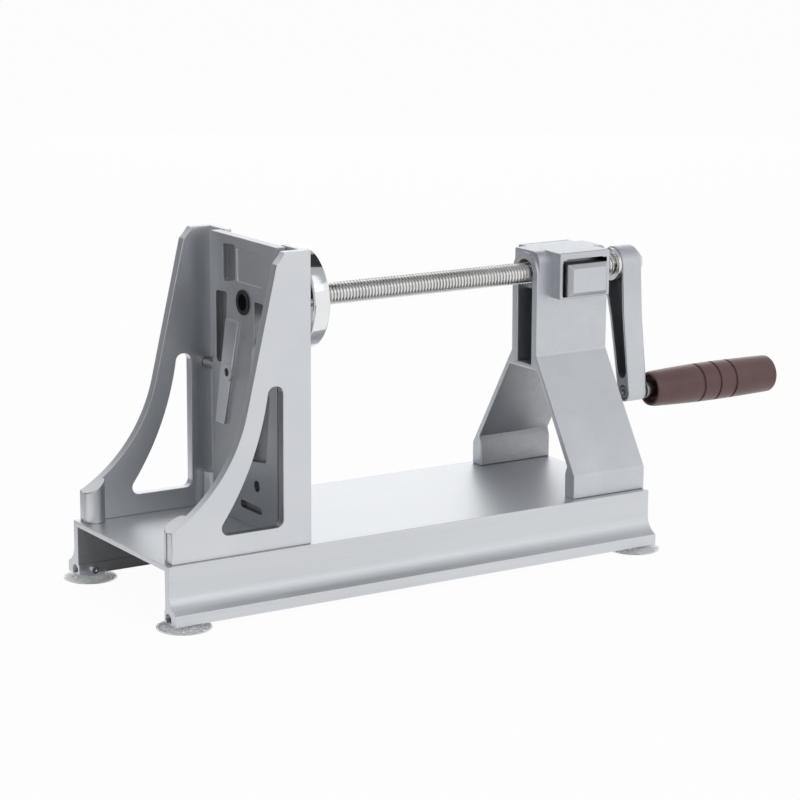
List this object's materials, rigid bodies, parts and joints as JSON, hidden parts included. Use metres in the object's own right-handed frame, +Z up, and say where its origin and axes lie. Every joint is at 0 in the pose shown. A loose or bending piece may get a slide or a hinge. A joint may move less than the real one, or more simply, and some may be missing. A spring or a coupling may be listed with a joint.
{
  "type": "hand cranked spiral slicer",
  "caption": "Hand-cranked spiral vegetable slicer: aluminium rail on suction cups, a blade plate between two brackets and a lead screw with a pusher disc and crank.",
  "frame": {"origin": "centre of the object's box at table level, under the suction cups' rims", "axes": "+X along the lead screw from the blade plate towards the crank, +Z up, -Y towards the release button's side"},
  "size_m": [0.4298, 0.137, 0.188],
  "materials": {
    "satin_aluminium": "satin anodised",
    "cast_aluminium": "blasted casting",
    "steel": "bright",
    "chrome": "polished",
    "bronze": "turned",
    "black_plastic": "matte",
    "brown_plastic": "semi-matte",
    "clear_rubber": "translucent, soft"
  },
  "bodies": {
    "frame": {"base_rail": "satin_aluminium", "near_bracket": "satin_aluminium", "far_bracket": "satin_aluminium", "bracket_screws": "steel", "blade_plate": "cast_aluminium", "plate_pins": "steel", "plate_screws": "steel", "core_tube": "black_plastic", "slicing_blade": "steel", "blade_screws": "steel", "tailstock": "cast_aluminium", "tailstock_screws": "steel", "front_bush": "steel", "rear_bush": "steel", "spring_cover": "cast_aluminium", "cover_screws": "steel", "button_spring": "steel", "cup_blade_near": "clear_rubber", "cup_blade_far": "clear_rubber", "cup_crank_near": "clear_rubber", "cup_crank_far": "clear_rubber", "cup_lock_screws": "steel"},
    "release": {"release_button": "satin_aluminium", "half_nut": "bronze"},
    "feed": {"stop_washer": "steel"},
    "spindle": {"lead_screw": "steel", "pusher_disc": "chrome", "pusher_prongs": "steel", "disc_screw": "steel", "crank_arm": "satin_aluminium", "crank_washer": "steel", "crank_screw": "steel", "grip_axle": "steel", "axle_nut": "steel"},
    "grip": {"grip": "brown_plastic", "grip_cap": "brown_plastic"}
  },
  "joints": [
    {"name": "spindle_feed", "type": "slide", "parent": "frame", "child": "feed", "axis": [1, 0, 0], "range_m": [-0.00601, 0.14001]},
    {"name": "crank_turn", "type": "hinge", "parent": "feed", "child": "spindle", "pos_m": [-0.0094, 0, 0.1535], "axis": [1, 0, 0], "range_deg": [-1080, 25200]},
    {"name": "grip_spin", "type": "hinge", "parent": "spindle", "child": "grip", "pos_m": [0.1716, -0.01292, 0.08023], "axis": [1, 0, 0], "continuous": true},
    {"name": "release_press", "type": "slide", "parent": "frame", "child": "release", "axis": [0, 1, 0], "range_m": [0, 0.003], "stiffness_N_per_m": 900, "springref_m": -0.005, "deforming": ["button_spring"]}
  ],
  "couplings": [
    {"joint": "spindle_feed", "follows": "crank_turn", "m_per_rad": 0.00031831}
  ]
}
